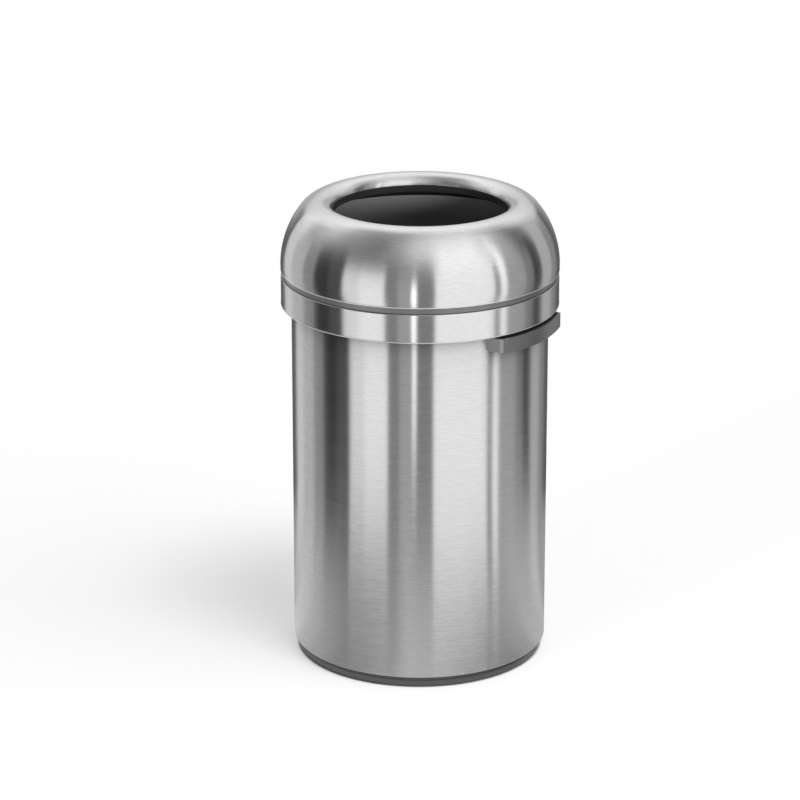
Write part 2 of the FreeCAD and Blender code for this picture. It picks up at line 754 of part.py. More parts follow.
# Lid screws: heads sunk in the rim's underside, shanks up through the dome's hem into the liner
def make_lid_screws():
    head_level = band_top + dims.seat_gap + dims.lid_screw_sink - dims.fit_gap
    boss_top = dome_level + dims.dome_gauge + dims.fit_gap + dims.liner_foot + dims.lid_boss_height
    return upright_screws(
        "lid_screws", lid_screw_circle, dims.lid_screw_count, dims.lid_screw_head, head_level,
        -dims.lid_screw_head_height, dims.lid_screw_thread, boss_top - dims.lid_screw_thread,
    )


# Dome: one drawn skin through three arcs that run into each other, from the straight foot over the
# shoulder and the crown and down into the opening; the lower edge is turned in as a hem
crown_radius = dims.throat_radius + dims.lip_roll
crown_level = dome_level + dims.dome_height
wall_start = dome_level + dims.skirt_height
lip_level = crown_level - dims.lip_roll
shoulder_across = rim_radius - crown_radius - dims.shoulder_arc
shoulder_up = crown_level - dims.shoulder_arc - wall_start
shoulder_square = shoulder_across * shoulder_across + shoulder_up * shoulder_up
wall_arc = dims.shoulder_arc + shoulder_square / (shoulder_across * 2)
join_cosine = (shoulder_up * shoulder_up - shoulder_across * shoulder_across) / shoulder_square
join_sine = shoulder_across * shoulder_up * 2 / shoulder_square


def shoulder_join(depth):
    """Where the wall's arc runs into the shoulder's, that far in from the dome's outside."""
    arc = dims.shoulder_arc - depth
    return (crown_radius + arc * join_cosine, crown_level - dims.shoulder_arc + arc * join_sine)


def make_dome_shell():
    gauge = dims.dome_gauge
    hem_outside, hem_inside = turned_edge(rim_radius, dome_level, gauge, 1)
    hem_edge = spigot_inner + dims.hem_setback
    body = turned_piece("dome_shell", [
        (hem_edge, dome_level),
        hem_outside[0],
        (*hem_outside[1], dims.bend),
        (rim_radius, wall_start),
        (*shoulder_join(size_of(0)), wall_arc),
        (crown_radius, crown_level, dims.shoulder_arc),
        (dims.throat_radius, lip_level, dims.lip_roll),
        (dims.throat_radius + gauge, lip_level),
        (crown_radius, crown_level - gauge, -(dims.lip_roll - gauge)),
        (*shoulder_join(gauge), -(dims.shoulder_arc - gauge)),
        (rim_radius - gauge, wall_start, -(wall_arc - gauge)),
        hem_inside[0],
        (*hem_inside[1], -(dims.bend - gauge)),
        (hem_edge, dome_level + gauge),
    ])
    shank = dims.lid_screw_thread / 2 + dims.hole_gap
    hole_floor = dome_level - dims.fit_gap
    hole = circle_outline(
        body, "XY_Plane", "hem_hole", lid_screw_circle, 0, shank, shift=(0, 0, hole_floor)
    )
    hole_depth = gauge + dims.fit_gap * 2
    ring_of(body, [cut(body, hole, "hem_hole_cut", hole_depth)], "hem_holes", dims.lid_screw_count)
    return body


# Edging: black moulding under the steel lip, with a tongue behind it and a rounded lower edge
def make_throat_ring():
    inner = dims.throat_radius
    outer = inner + dims.throat_width
    foot = lip_level - dims.throat_drop
    behind = inner + dims.dome_gauge + dims.fit_gap
    top = lip_level + dims.throat_rise
    return turned_piece("throat_ring", [
        (inner, lip_level - dims.fit_gap),
        (inner, foot + dims.throat_nose),
        (inner + dims.throat_nose, foot, dims.throat_nose),
        (outer, foot),
        (outer, top),
        (behind + dims.throat_ease, top),
        (behind, lip_level),
        (behind, lip_level - dims.fit_gap),
    ])


# Liner: dark moulded wall inside the dome, its foot on the hem, with screw bosses behind the wall
def make_dome_liner():
    foot = dome_level + dims.dome_gauge + dims.fit_gap
    foot_top = foot + dims.liner_foot
    top_inner = spigot_inner - dims.liner_draft
    top_outer = top_inner + dims.liner_edge
    wall_centre = rim_radius - wall_arc
    skin_level = wall_start + leg(wall_arc - dims.dome_gauge, top_outer - wall_centre)
    top = skin_level - dims.liner_clearance
    foot_outer = rim_radius - dims.dome_gauge - dims.liner_foot_gap
    body = turned_piece("dome_liner", [
        (spigot_inner, foot),
        (foot_outer, foot),
        (foot_outer, foot_top),
        (spigot_inner + dims.liner_wall, foot_top),
        (top_outer, top),
        (top_inner, top),
    ])
    boss = circle_outline(
        body, "XY_Plane", "boss", lid_screw_circle, 0, dims.lid_boss_radius, shift=(0, 0, foot)
    )
    boss_pad = pad(body, boss, "boss_pad", dims.liner_foot + dims.lid_boss_height)
    ring_of(body, [boss_pad], "bosses", dims.lid_screw_count)
    pilot_radius = dims.lid_screw_thread / 2 + dims.hole_gap
    pilot = circle_outline(
        body, "XY_Plane", "pilot", lid_screw_circle, 0, pilot_radius, shift=(0, 0, dome_level)
    )
    pilot_cut = cut(body, pilot, "pilot_cut", foot_top + dims.lid_boss_height + dims.fit_gap - dome_level)
    ring_of(body, [pilot_cut], "pilots", dims.lid_screw_count)
    return body


pieces = [
    make_body_shell(),
    make_base_ring(),
    make_foot_ring(),
    make_floor_pan(),
    make_base_screws(),
    make_collar_ring(),
    make_collar_rivets(),
    make_collar_band(),
    make_handle("handle_right", 0),
    make_handle("handle_left", half_turn),
    make_handle_washers(),
    make_handle_screws(),
    make_handle_inserts(),
    make_bag_ring(),
    make_lid_rim(),
    make_lid_screws(),
    make_dome_shell(),
    make_throat_ring(),
    make_dome_liner(),
]
doc.recompute()

for item in doc.Objects:
    if "Invalid" in item.State or "Error" in item.State:
        raise ValueError(f"{item.Label} failed: {item.State}")
for piece in pieces:
    if piece.Shape.isNull() or not piece.Shape.isValid() or not piece.Shape.Solids:
        raise ValueError(f"{piece.Label} has no sound solid")

os.makedirs("parts", exist_ok=True)
for piece in pieces:
    piece.Shape.exportStep(f"parts/{piece.Label}.step")
    print(f"{piece.Label}: {len(piece.Shape.Solids)} solid(s), {piece.Shape.Volume / 1000:.2f} cm3")
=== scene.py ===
import math

import bmesh
import bpy
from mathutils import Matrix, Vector


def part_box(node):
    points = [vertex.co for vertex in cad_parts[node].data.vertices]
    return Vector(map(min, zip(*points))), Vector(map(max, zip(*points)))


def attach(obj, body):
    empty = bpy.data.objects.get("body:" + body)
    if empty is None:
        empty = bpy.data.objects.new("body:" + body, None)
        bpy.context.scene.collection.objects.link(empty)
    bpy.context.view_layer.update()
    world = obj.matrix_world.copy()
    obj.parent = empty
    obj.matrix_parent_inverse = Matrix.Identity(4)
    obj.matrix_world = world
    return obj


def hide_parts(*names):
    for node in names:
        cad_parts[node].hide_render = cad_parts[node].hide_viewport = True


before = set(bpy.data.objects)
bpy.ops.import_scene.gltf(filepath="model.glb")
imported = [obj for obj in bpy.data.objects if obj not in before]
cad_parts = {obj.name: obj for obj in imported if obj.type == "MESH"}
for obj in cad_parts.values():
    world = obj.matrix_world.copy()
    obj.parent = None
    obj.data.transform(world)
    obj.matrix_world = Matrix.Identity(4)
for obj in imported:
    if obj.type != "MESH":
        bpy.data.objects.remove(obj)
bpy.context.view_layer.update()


# Tread ring: a black rubber hoop pushed into the channel under the base. It alone meets the floor, and
# two shallow grooves run round its underside so that it grips.
mm = 0.001


class Link:
    """One socket among a material's nodes. Sums of links and numbers add the Math nodes for them."""

    def __init__(self, tree, socket=None):
        self.tree = tree
        self.socket = socket

    def fill(self, node, sockets):
        """Sets a node's sockets to numbers or colours, or joins links to them."""
        for key, value in sockets.items():
            if isinstance(value, Link):
                self.tree.links.new(value.socket, node.inputs[key])
            else:
                node.inputs[key].default_value = value

    def node(self, kind, settings, sockets, out=0):
        """Adds a node of any kind: its settings come first, then its sockets."""
        added = self.tree.nodes.new("ShaderNode" + kind)
        for name, value in settings.items():
            setattr(added, name, value)
        self.fill(added, sockets)
        return Link(self.tree, added.outputs[out])

    def sum(self, operation, first, second=0.0):
        """Adds a Math node of any operation on two links or numbers."""
        return self.node("Math", {"operation": operation}, {0: first, 1: second})

    def held(self):
        """This value, kept between 0 and 1."""
        return self.sum("MINIMUM", self.sum("MAXIMUM", self), 1)

    def __abs__(self):
        return self.sum("ABSOLUTE", self)

    def __add__(self, other):
        return self.sum("ADD", self, other)

    def __sub__(self, other):
        return self.sum("SUBTRACT", self, other)

    def __rsub__(self, other):
        return self.sum("SUBTRACT", other, self)

    def __mul__(self, other):
        return self.sum("MULTIPLY", self, other)

    def __truediv__(self, other):
        return self.sum("DIVIDE", self, other)

    def __pow__(self, other):
        return self.sum("POWER", self, other)

    def __lt__(self, other):
        return self.sum("LESS_THAN", self, other)

    def __gt__(self, other):
        return self.sum("GREATER_THAN", self, other)

    __radd__ = __add__
    __rmul__ = __mul__


def new_finish(name):
    """A material, the start of its links, and its surface shader."""
    material = bpy.data.materials.new(name)
    material.use_nodes = True
    return material, Link(material.node_tree), material.node_tree.nodes["Principled BSDF"]


def grey(level):
    """An even grey, as a colour with full cover."""
    return (level, level, level, 1)


def place(paint, axis):
    """Where a point lies along an axis of the object, in metres."""
    spot = paint.node("TexCoord", {}, {}, "Object")
    return paint.node("SeparateXYZ", {}, {"Vector": spot}, axis)


def grain(paint, size, detail=3):
    """Even noise whose grains measure about size across, in metres."""
    spot = paint.node("TexCoord", {}, {}, "Object")
    return paint.node("TexNoise", {}, {"Vector": spot, "Scale": 1 / size, "Detail": detail})


def tinted(paint, mask, low, high):
    """A colour that goes from low to high with a mask."""
    return paint.node("Mix", {"data_type": "RGBA"}, {0: mask, 6: low, 7: high}, 2)


def moulded(name, tone, roughness, coat=0.0):
    """Moulded plastic or rubber: an eroded satin skin and a slow cloud of tone and gloss."""
    material, paint, surface = new_finish(name)
    cloud = grain(paint, 60 * mm)
    skin = grain(paint, 0.9 * mm, 2)
    bump = paint.node("Bump", {}, {"Strength": 0.3, "Distance": 0.1 * mm, "Height": skin})
    paint.fill(surface, {
        "Base Color": tinted(paint, cloud * 0.6 + skin * 0.4, grey(tone * 0.85), grey(tone * 1.15)),
        "Roughness": cloud * 0.12 + skin * 0.06 + (roughness - 0.09),
        "Specular IOR Level": 0.9,
        "Coat Weight": coat,
        "Coat Roughness": 0.2,
        "Normal": bump,
    })
    return material


def rounded(corners, steps=5):
    """Points of a closed outline of (radius, height) corners; a third number rounds that corner off."""
    points = []
    for index, corner in enumerate(corners):
        here = Vector(corner[:2])
        if len(corner) < 3:
            points.append(here)
            continue
        back = (Vector(corners[index - 1][:2]) - here).normalized()
        ahead = (Vector(corners[(index + 1) % len(corners)][:2]) - here).normalized()
        half = back.angle(ahead) / 2
        centre = here + (back + ahead).normalized() * (corner[2] / math.sin(half))
        first = here + back * (corner[2] / math.tan(half)) - centre
        last = here + ahead * (corner[2] / math.tan(half)) - centre
        turn = math.atan2(first.x * last.y - first.y * last.x, first.dot(last))
        for step in range(steps + 1):
            angle = turn * step / steps
            points.append(centre + Vector((
                first.x * math.cos(angle) - first.y * math.sin(angle),
                first.x * math.sin(angle) + first.y * math.cos(angle),
            )))
    return points


def made(name, shape):
    """The finished object of a shape, smooth except at its crisp edges."""
    crisp_angle = math.radians(40)
    same_spot = 0.001 * mm
    bmesh.ops.remove_doubles(shape, verts=shape.verts, dist=same_spot)
    loose = [edge for edge in shape.edges if not edge.link_faces]
    bmesh.ops.delete(shape, geom=loose, context="EDGES")
    bmesh.ops.recalc_face_normals(shape, faces=shape.faces)
    mesh = bpy.data.meshes.new(name)
    shape.to_mesh(mesh)
    shape.free()
    mesh.shade_smooth()
    mesh.set_sharp_from_angle(angle=crisp_angle)
    piece = bpy.data.objects.new(name, mesh)
    bpy.context.scene.collection.objects.link(piece)
    weigh = piece.modifiers.new("even_shading", "WEIGHTED_NORMAL")
    weigh.keep_sharp = True
    return piece


def turned(name, outline, segments=256):
    """A piece made by turning a closed outline about the bin's axis."""
    shape = bmesh.new()
    rings = []
    for segment in range(segments):
        angle = 2 * math.pi * segment / segments
        rings.append([
            shape.verts.new((point[0] * math.cos(angle), point[0] * math.sin(angle), point[1]))
            for point in outline
        ])
    for ring, following in zip(rings, rings[1:] + rings[:1]):
        for index in range(len(outline)):
            shape.faces.new((ring[index - 1], ring[index], following[index], following[index - 1]))
    return made(name, shape)


def fit(piece, node, body, material):
    """Puts a piece in the place of its CAD node: what it rides on and its finish."""
    piece.data.materials.append(material)
    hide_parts(node)
    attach(piece, body)


tread_low, tread_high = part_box("foot_ring")
tread_width = 6.4 * mm
tread_outer = tread_high.x
tread_inner = tread_outer - tread_width
tread_groove = 1.2 * mm
tread_edge = 0.5 * mm
tread_corners = [(tread_inner, tread_high.z, tread_edge), (tread_inner, tread_low.z, tread_edge)]
for share in (1 / 3, 2 / 3):
    middle = tread_inner + tread_width * share
    tread_corners += [
        (middle - tread_groove / 2, tread_low.z),
        (middle - tread_groove / 3, tread_low.z + tread_groove),
        (middle + tread_groove / 3, tread_low.z + tread_groove),
        (middle + tread_groove / 2, tread_low.z),
    ]
tread_corners += [(tread_outer, tread_low.z, tread_edge), (tread_outer, tread_high.z, tread_edge)]
tread = turned("tread_ring", rounded(tread_corners))
fit(tread, "foot_ring", "can", moulded("tread_rubber", 0.022, 0.7))


# Base: one dark grey moulding. A thin tier carries the steel, a shadow groove runs under it, and the foot
# below leans in towards the floor. Screws from inside the bin hold it.
base_low, base_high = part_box("base_ring")
tier_radius = base_high.x
tier_bottom = base_high.z - 4.1 * mm
foot_top = tier_bottom - 1.8 * mm
foot_radius = tier_radius - 4.4 * mm
foot_top_radius = foot_radius + 1.6 * mm
foot_edge = 0.8 * mm
groove_radius = foot_top_radius - 0.8 * mm
channel_outer = foot_radius - 3 * mm
channel_inner = channel_outer - 6.8 * mm
base_inner = channel_inner - 3 * mm
base_inner_top = 12 * mm
base_edge = 0.5 * mm
web_bottom = 6 * mm
web_top = 8.5 * mm
base = turned("base_moulding", rounded([
    (foot_radius, base_low.z, foot_edge),
    (foot_top_radius, foot_top, base_edge),
    (groove_radius, foot_top),
    (groove_radius, tier_bottom),
    (tier_radius, tier_bottom, base_edge),
    (tier_radius, base_high.z, base_edge),
    (channel_outer, base_high.z),
    (channel_outer, web_top),
    (channel_inner, web_top),
    (channel_inner, base_inner_top, base_edge),
    (base_inner, base_inner_top, base_edge),
    (base_inner, base_low.z, base_edge),
    (channel_inner, base_low.z, base_edge),
    (channel_inner, web_bottom),
    (channel_outer, web_bottom),
    (channel_outer, base_low.z, base_edge),
]))
fit(base, "base_ring", "can", moulded("base_plastic", 0.039, 0.45))


# Tube: one stainless sheet, rolled and welded at the rear and brushed round the axis. Its lower edge is
# turned in as a hem, which the floor pan and the base are screwed to. Its colour is darkened towards the
# band and the handles above as painted shade, for the light they keep from its top.
tube_low, tube_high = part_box("body_shell")
tube_radius = tube_high.x
band_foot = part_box("collar_band")[0].z
band_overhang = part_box("collar_band")[1].x - tube_radius
grip_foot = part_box("handle_right")[0].z
grip_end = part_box("handle_right")[1].y


def painted_open_side(paint, along, height):
    """Painted shade for the tube: how much light would reach it, least close under the band and the handles,
    and 1 far below.
    """
    under_grip = ((grip_end - abs(along)) / band_overhang + 0.5).held()
    overhang_foot = band_foot - under_grip * (band_foot - grip_foot)
    below = paint.sum("MAXIMUM", overhang_foot - height)
    clear_view = below / (below * below + band_overhang ** 2) ** 0.5 * 0.5 + 0.5
    return clear_view ** 1.5


def brushed_steel(name, seam=0.0, painted_shade=False):
    """Stainless sheet brushed round the axis: reflections stay crisp sideways and run up and down."""
    material, paint, surface = new_finish(name)
    darkest, lightest = 0.58, 0.86
    across = place(paint, "X")
    along = place(paint, "Y")
    height = place(paint, "Z")
    radius = (across * across + along * along) ** 0.5

    def strokes(pitch, length):
        """Noise drawn out round the axis: its pitch across the strokes and its length along them."""
        spot = paint.node("CombineXYZ", {}, {
            "X": radius / pitch,
            "Y": height / pitch,
            "Z": (across + along * 0.7) / length,
        })
        return paint.node("TexNoise", {}, {"Vector": spot, "Scale": 1, "Detail": 2})

    fine = strokes(0.8 * mm, 14 * mm)
    broad = strokes(9 * mm, 200 * mm)
    weld = (abs(across) < seam / 2) * (along > 0)
    bump = paint.node("Bump", {}, {"Strength": 0.025, "Distance": 0.05 * mm, "Height": broad - weld})
    shade = fine * 0.85 + broad * 0.1 + 0.025
    colour = tinted(paint, shade - weld * 0.4, grey(darkest), grey(lightest))
    # Painted shade: the colour goes to black close under the band and the handles.
    if painted_shade:
        colour = tinted(paint, painted_open_side(paint, along, height), grey(0), colour)
    paint.fill(surface, {
        "Base Color": colour,
        "Metallic": 1,
        "Roughness": fine * 0.06 + broad * 0.04 + weld * 0.1 + 0.16,
        "Anisotropic": 1.0,
        "Anisotropic Rotation": 0.25,
        "Normal": bump,
    })
    return material


sheet_gauge = 1 * mm
sheet_bend = 2 * mm
raw_edge = 0.3 * mm
weld_width = 1.2 * mm
hem_radius = tube_radius - 17 * mm
tube = turned("steel_tube", rounded([
    (hem_radius, tube_low.z, raw_edge),
    (tube_radius, tube_low.z, sheet_bend),
    (tube_radius, tube_high.z, raw_edge),
    (tube_radius - sheet_gauge, tube_high.z, raw_edge),
    (tube_radius - sheet_gauge, tube_low.z + sheet_gauge, sheet_bend - sheet_gauge),
    (hem_radius, tube_low.z + sheet_gauge, raw_edge),
]))
fit(tube, "body_shell", "can", brushed_steel("tube_steel", weld_width, True))


# Floor pan: a dished steel disc on the tube's hem, left as it came from the rolling mill. Eight zinc
# plated screws go down through it and the hem into the base.
def plated(name, low, high, roughness, size):
    """Bare or plated metal with a patchy, slightly stained skin."""
    material, paint, surface = new_finish(name)
    patches = grain(paint, size, 4)
    specks = grain(paint, size / 12, 2)
    bump = paint.node("Bump", {}, {"Strength": 0.1, "Distance": 0.05 * mm, "Height": specks})
    paint.fill(surface, {
        "Base Color": tinted(paint, patches * 0.7 + specks * 0.3, low, high),
        "Metallic": 1,
        "Roughness": patches * 0.15 + specks * 0.05 + (roughness - 0.1),
        "Normal": bump,
    })
    return material


def dress(node, material):
    """Gives a CAD node that stays in view its finish."""
    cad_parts[node].material_slots[0].material = material


zinc = plated("zinc_plate", (0.52, 0.54, 0.56, 1), (0.68, 0.69, 0.7, 1), 0.35, 4 * mm)
dress("floor_pan", plated("mill_steel", grey(0.4), grey(0.55), 0.4, 40 * mm))
dress("base_screws", zinc)


# Collar: a grey moulding that caps the tube's top edge, riveted through it from inside. Its hollow skirt
# carries the band, and the lid and the bag ring sit on its ledges.
collar_low, collar_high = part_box("collar_ring")
collar_radius = collar_high.x
collar_wall = 2.6 * mm
collar_shoulder = collar_high.z - 1.2 * mm
collar_round = 1 * mm
collar_edge = 0.5 * mm
land_outer = collar_radius - 3 * mm
land_inner = land_outer - 4.5 * mm
bag_seat = collar_high.z - 9.6 * mm
collar_bore = tube_radius - 3.8 * mm
slot_inner = tube_radius - 1.2 * mm
slot_outer = tube_radius + 0.2 * mm
slot_top = tube_high.z + 0.2 * mm
lip_foot = bag_seat - 14 * mm
collar = turned("collar_moulding", rounded([
    (collar_radius, collar_low.z, collar_round),
    (collar_radius, collar_shoulder, collar_round),
    (land_outer, collar_shoulder),
    (land_outer, collar_high.z, collar_edge),
    (land_inner, collar_high.z, collar_edge),
    (land_inner, bag_seat),
    (collar_bore, bag_seat, collar_edge),
    (collar_bore, lip_foot, collar_edge),
    (slot_inner, lip_foot),
    (slot_inner, slot_top),
    (slot_outer, slot_top),
    (slot_outer, collar_low.z),
    (slot_outer + collar_wall, collar_low.z, collar_edge),
    (slot_outer + collar_wall, slot_top),
    (collar_radius - collar_wall, slot_top),
    (collar_radius - collar_wall, collar_low.z),
]))
grey_plastic = moulded("grey_plastic", 0.08, 0.32, 0.6)
fit(collar, "collar_ring", "can", grey_plastic)
dress("collar_rivets", zinc)


# Band: a strip of the same steel round the collar, both edges turned in over the grey moulding. A thin bead
# stands out along its lower edge and carries a painted highlight, and the rest is bare all round.
band_low, band_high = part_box("collar_band")
band_radius = band_high.x
band_top_edge = band_radius - 4 * mm
band_bottom_edge = band_radius - 11 * mm
band_bend = 1.2 * mm
bead_proud = 0.35 * mm
bead_height = 2 * mm
bead_edge = 0.8 * mm
band_wall = band_radius - bead_proud
band = turned("steel_band", rounded([
    (band_bottom_edge, band_low.z, raw_edge),
    (band_radius, band_low.z, bead_edge),
    (band_radius, band_low.z + bead_height, bead_edge),
    (band_wall, band_low.z + bead_height),
    (band_wall, band_high.z, band_bend),
    (band_top_edge, band_high.z, raw_edge),
    (band_top_edge, band_high.z - sheet_gauge, raw_edge),
    (band_radius - sheet_gauge, band_high.z - sheet_gauge),
    (band_radius - sheet_gauge, band_low.z + sheet_gauge),
    (band_bottom_edge, band_low.z + sheet_gauge, raw_edge),
]))
steel = brushed_steel("brushed_steel")
fit(band, "collar_band", "can", steel)
# Painted highlight: a pale, half metallic colour on the bead's lower faces stands in for a bright line of
# light along it.
painted_highlight_edge, paint, surface = new_finish("painted_highlight_edge")
highlight_mottle = grain(paint, 3 * mm)
paint.fill(surface, {
    "Base Color": tinted(paint, highlight_mottle, grey(0.5), grey(0.7)),
    "Metallic": 0.5,
    "Roughness": highlight_mottle * 0.2 + 0.3,
})


def paint_bead_highlight(piece, foot, wall):
    """Gives the bead round a piece's lower edge its painted highlight."""
    bead_top = foot + 1.5 * bead_edge
    bead_inside = wall - 0.2 * mm
    piece.data.materials.append(painted_highlight_edge)
    for face in piece.data.polygons:
        spread = math.hypot(face.center.x, face.center.y)
        if face.center.z < bead_top and spread > bead_inside:
            face.material_index = len(piece.data.materials) - 1


paint_bead_highlight(band, band_low.z, band_wall)


# Handles: two grey cups under the band, one at each side, for lifting the bin. Each is one moulding with a
# finger hollow open below and a trough along its top. The trough is coloured black as painted shade, and the
# corners at its ends are coloured pale as a painted highlight. Screws from inside the tube hold it by brass
# inserts.
grip_low, grip_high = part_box("handle_right")
grip_face = grip_high.x
grip_back = tube_radius + 0.2 * mm
grip_half = 80 * mm
grip_flare = 3 * mm
grip_square = 3.6 * mm
grip_sag = 4 * mm
grip_edge = 1.2 * mm
grip_corner = 2.6 * mm
heel = 5 * mm
heel_cut = 0.3 * heel
hollow_face = grip_face - 3 * mm
hollow_roof = grip_high.z - 4 * mm
hollow_share = 0.775
trough_back = grip_back + 2.3 * mm
trough_floor = grip_high.z - 3.2 * mm
trough_dip = 2 * mm
trough_share = 0.93


corner_share = 1 - grip_corner / grip_half
# Finish slots on a handle: 1 is the painted highlight on its end corners, 2 the painted shade in its trough.
painted_highlight_finish, painted_shade_finish = 1, 2


def grip_shares():
    """Where rows of points cross a handle, from -1 at one end to 1 at the other, closest at its corners."""
    ends = (-corner_share, -trough_share, -hollow_share, hollow_share, trough_share, corner_share)
    shares = []
    for start, end, steps in zip(ends, ends[1:], (1, 3, 40, 3, 1)):
        shares += [start + (end - start) * step / steps for step in range(steps)]
    turns = [math.radians(angle) for angle in (0, 18, 36, 54, 72, 90)]
    round_end = [corner_share + (1 - corner_share) * math.sin(turn) for turn in turns]
    return [-share for share in reversed(round_end[1:])] + shares + round_end


def grip_row(shape, side, share):
    """The points of one row across a handle, by name. They bend with the tube, the face a little less."""
    into = max(abs(share) - corner_share, 0) * grip_half
    face = grip_face - grip_corner + math.sqrt(max(grip_corner ** 2 - into ** 2, 0))
    bottom = grip_low.z + grip_sag * share * share
    lip = grip_high.z - trough_dip * max(1 - (share / trough_share) ** 2, 0)
    row = {}
    for key, radius, height in (
        ("face_foot", face, bottom),
        ("face_top", face, lip),
        ("trough_front", hollow_face, lip),
        ("trough_front_floor", hollow_face, trough_floor),
        ("trough_back_floor", trough_back, trough_floor),
        ("trough_back", trough_back, grip_high.z),
        ("back_top", grip_back, grip_high.z),
        ("back_roof", grip_back, hollow_roof),
        ("back_foot", grip_back, bottom + heel),
        ("heel", grip_back + heel_cut, bottom + heel_cut),
        ("heel_foot", grip_back + heel, bottom),
        ("hollow_foot", hollow_face, bottom),
        ("hollow_roof", hollow_face, hollow_roof),
    ):
        lean = (grip_face - radius) / (grip_face - grip_back)
        aside = share * (grip_half + grip_flare * lean)
        outward = math.sqrt(radius ** 2 - aside ** 2) + grip_square * share * share * (1 - lean)
        row[key] = shape.verts.new((side * outward, aside, height))
    return row


def handle(name, side):
    """One cup handle on the side of the bin that +1 or -1 names, skinned from row to row."""
    shape = bmesh.new()
    shares = grip_shares()
    rows = [grip_row(shape, side, share) for share in shares]
    top = ("face_top", "trough_front", "trough_back", "back_top")
    dug = ("face_top", "trough_front", "trough_front_floor", "trough_back_floor", "trough_back", "back_top")
    under = (
        "back_top", "back_roof", "back_foot", "heel", "heel_foot", "hollow_foot", "face_foot", "face_top",
    )
    cupped = ("back_top", "back_roof", "hollow_roof", "hollow_foot", "face_foot", "face_top")
    for share, beyond, row, following in zip(shares, shares[1:], rows, rows[1:]):
        over = dug if -trough_share <= share < trough_share else top
        below = cupped if -hollow_share <= share < hollow_share else under
        for chain in (over, below):
            for first, last in zip(chain, chain[1:]):
                patch = shape.faces.new((row[first], row[last], following[last], following[first]))
                # Painted highlight on the face's end corners, painted shade on the trough's faces.
                if last == "face_top" and abs(share + beyond) > 2 * corner_share:
                    patch.material_index = painted_highlight_finish
                elif chain is dug and first.startswith("trough") and last.startswith("trough"):
                    patch.material_index = painted_shade_finish
    for share, row in zip(shares, rows):
        if abs(share) == 1:
            shape.faces.new([row[key] for key in top + under[1:7]])
        if abs(share) == trough_share:
            shape.faces.new([row[key] for key in dug[1:5]])
        if abs(share) == hollow_share:
            shape.faces.new([row[key] for key in under[1:6] + ("hollow_roof",)])
    rim_edges = []
    for row, following in zip(rows, rows[1:]):
        rim_edges += [shape.edges.get((row[key], following[key])) for key in ("face_foot", "face_top")]
    bmesh.ops.bevel(
        shape, geom=rim_edges, offset=grip_edge, offset_type="OFFSET", segments=5, profile=0.5,
        affect="EDGES", clamp_overlap=True,
    )
    return made(name, shape)


right_grip = handle("grip_right", 1)
left_grip = handle("grip_left", -1)
fit(right_grip, "handle_right", "can", grey_plastic)
fit(left_grip, "handle_left", "can", grey_plastic)
# Black plastic for the bag ring, also used as painted shade in the handles' trough.
black_plastic = moulded("black_plastic", 0.03, 0.42)
# Painted highlight: a paler, glossier grey for the handles' end corners.
painted_highlight_plastic = moulded("painted_highlight_plastic", 0.15, 0.28, 0.6)
for grip in (right_grip, left_grip):
    grip.data.materials.append(painted_highlight_plastic)
    grip.data.materials.append(black_plastic)
dress("handle_screws", zinc)
dress("handle_washers", zinc)
dress("handle_inserts", plated("insert_brass", (0.55, 0.38, 0.14, 1), (0.72, 0.52, 0.22, 1), 0.35, 4 * mm))


# Bag ring: a loose black hoop in the collar. The bag's edge is folded over it, and two raised tabs are
# there to lift it by.
dress("bag_ring", black_plastic)


# Lid rim: the grey ring under the dome that shows as a recessed line above the band. Its spigot drops
# into the collar and centres the dome.
rim_low, rim_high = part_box("lid_rim")
rim_radius = rim_high.x
rim_bottom = rim_high.z - 8.9 * mm
rim_edge = 0.6 * mm
spigot_outer = rim_radius - 5.8 * mm
spigot_inner = spigot_outer - 2.6 * mm
spigot_lead = 1.3 * mm
lid_rim = turned("lid_rim_moulding", rounded([
    (rim_radius, rim_bottom, rim_edge),
    (rim_radius, rim_high.z, rim_edge),
    (spigot_inner, rim_high.z),
    (spigot_inner, rim_low.z, rim_edge),
    (spigot_outer - spigot_lead, rim_low.z),
    (spigot_outer, rim_low.z + spigot_lead),
    (spigot_outer, rim_bottom),
]))
fit(lid_rim, "lid_rim", "lid", grey_plastic)


# Dome: one drawn skin of the same steel. The wall bends in over a long arc, a tighter shoulder brings it to
# the crown, and the crown rolls down into the opening. The lower edge has the band's bead with its painted
# highlight and is turned in as a hem. The inside below the lip is coloured near black as painted shade.
def arc(centre, radius, start, end, steps):
    """Points on a circle from one angle to another, in degrees, with 0 outwards and 90 upwards."""
    points = []
    for step in range(steps + 1):
        angle = math.radians(start + (end - start) * step / steps)
        points.append((centre[0] + radius * math.cos(angle), centre[1] + radius * math.sin(angle)))
    return points


dome_low, dome_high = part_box("dome_shell")
dome_radius = dome_high.x
dome_wall = dome_radius - bead_proud
dome_hem = dome_radius - 10.5 * mm
crown_radius = 151 * mm
lip_roll = 19 * mm
lip_end_angle = 170
shoulder_arc = 36.5 * mm
wall_start = dome_low.z + 7 * mm
shoulder_run = dome_radius - crown_radius - shoulder_arc
shoulder_rise = dome_high.z - shoulder_arc - wall_start
wall_arc = shoulder_arc + (shoulder_run ** 2 + shoulder_rise ** 2) / (2 * shoulder_run)
join_angle = math.degrees(2 * math.atan2(shoulder_run, shoulder_rise))
bead_steps, bend_steps, wall_steps, shoulder_steps, lip_steps = 5, 4, 28, 20, 24
bead_out = dome_radius - bead_edge
bead_foot_centre = (bead_out, dome_low.z + bead_edge)
bead_top_centre = (bead_out, dome_low.z + bead_height - bead_edge)
bend_centre = (dome_radius - sheet_bend, dome_low.z + sheet_bend)
wall_centre = (dome_radius - wall_arc, wall_start)
shoulder_centre = (crown_radius, dome_high.z - shoulder_arc)
lip_centre = (crown_radius, dome_high.z - lip_roll)
dome_outline = arc(bead_foot_centre, bead_edge, -90, 0, bead_steps)
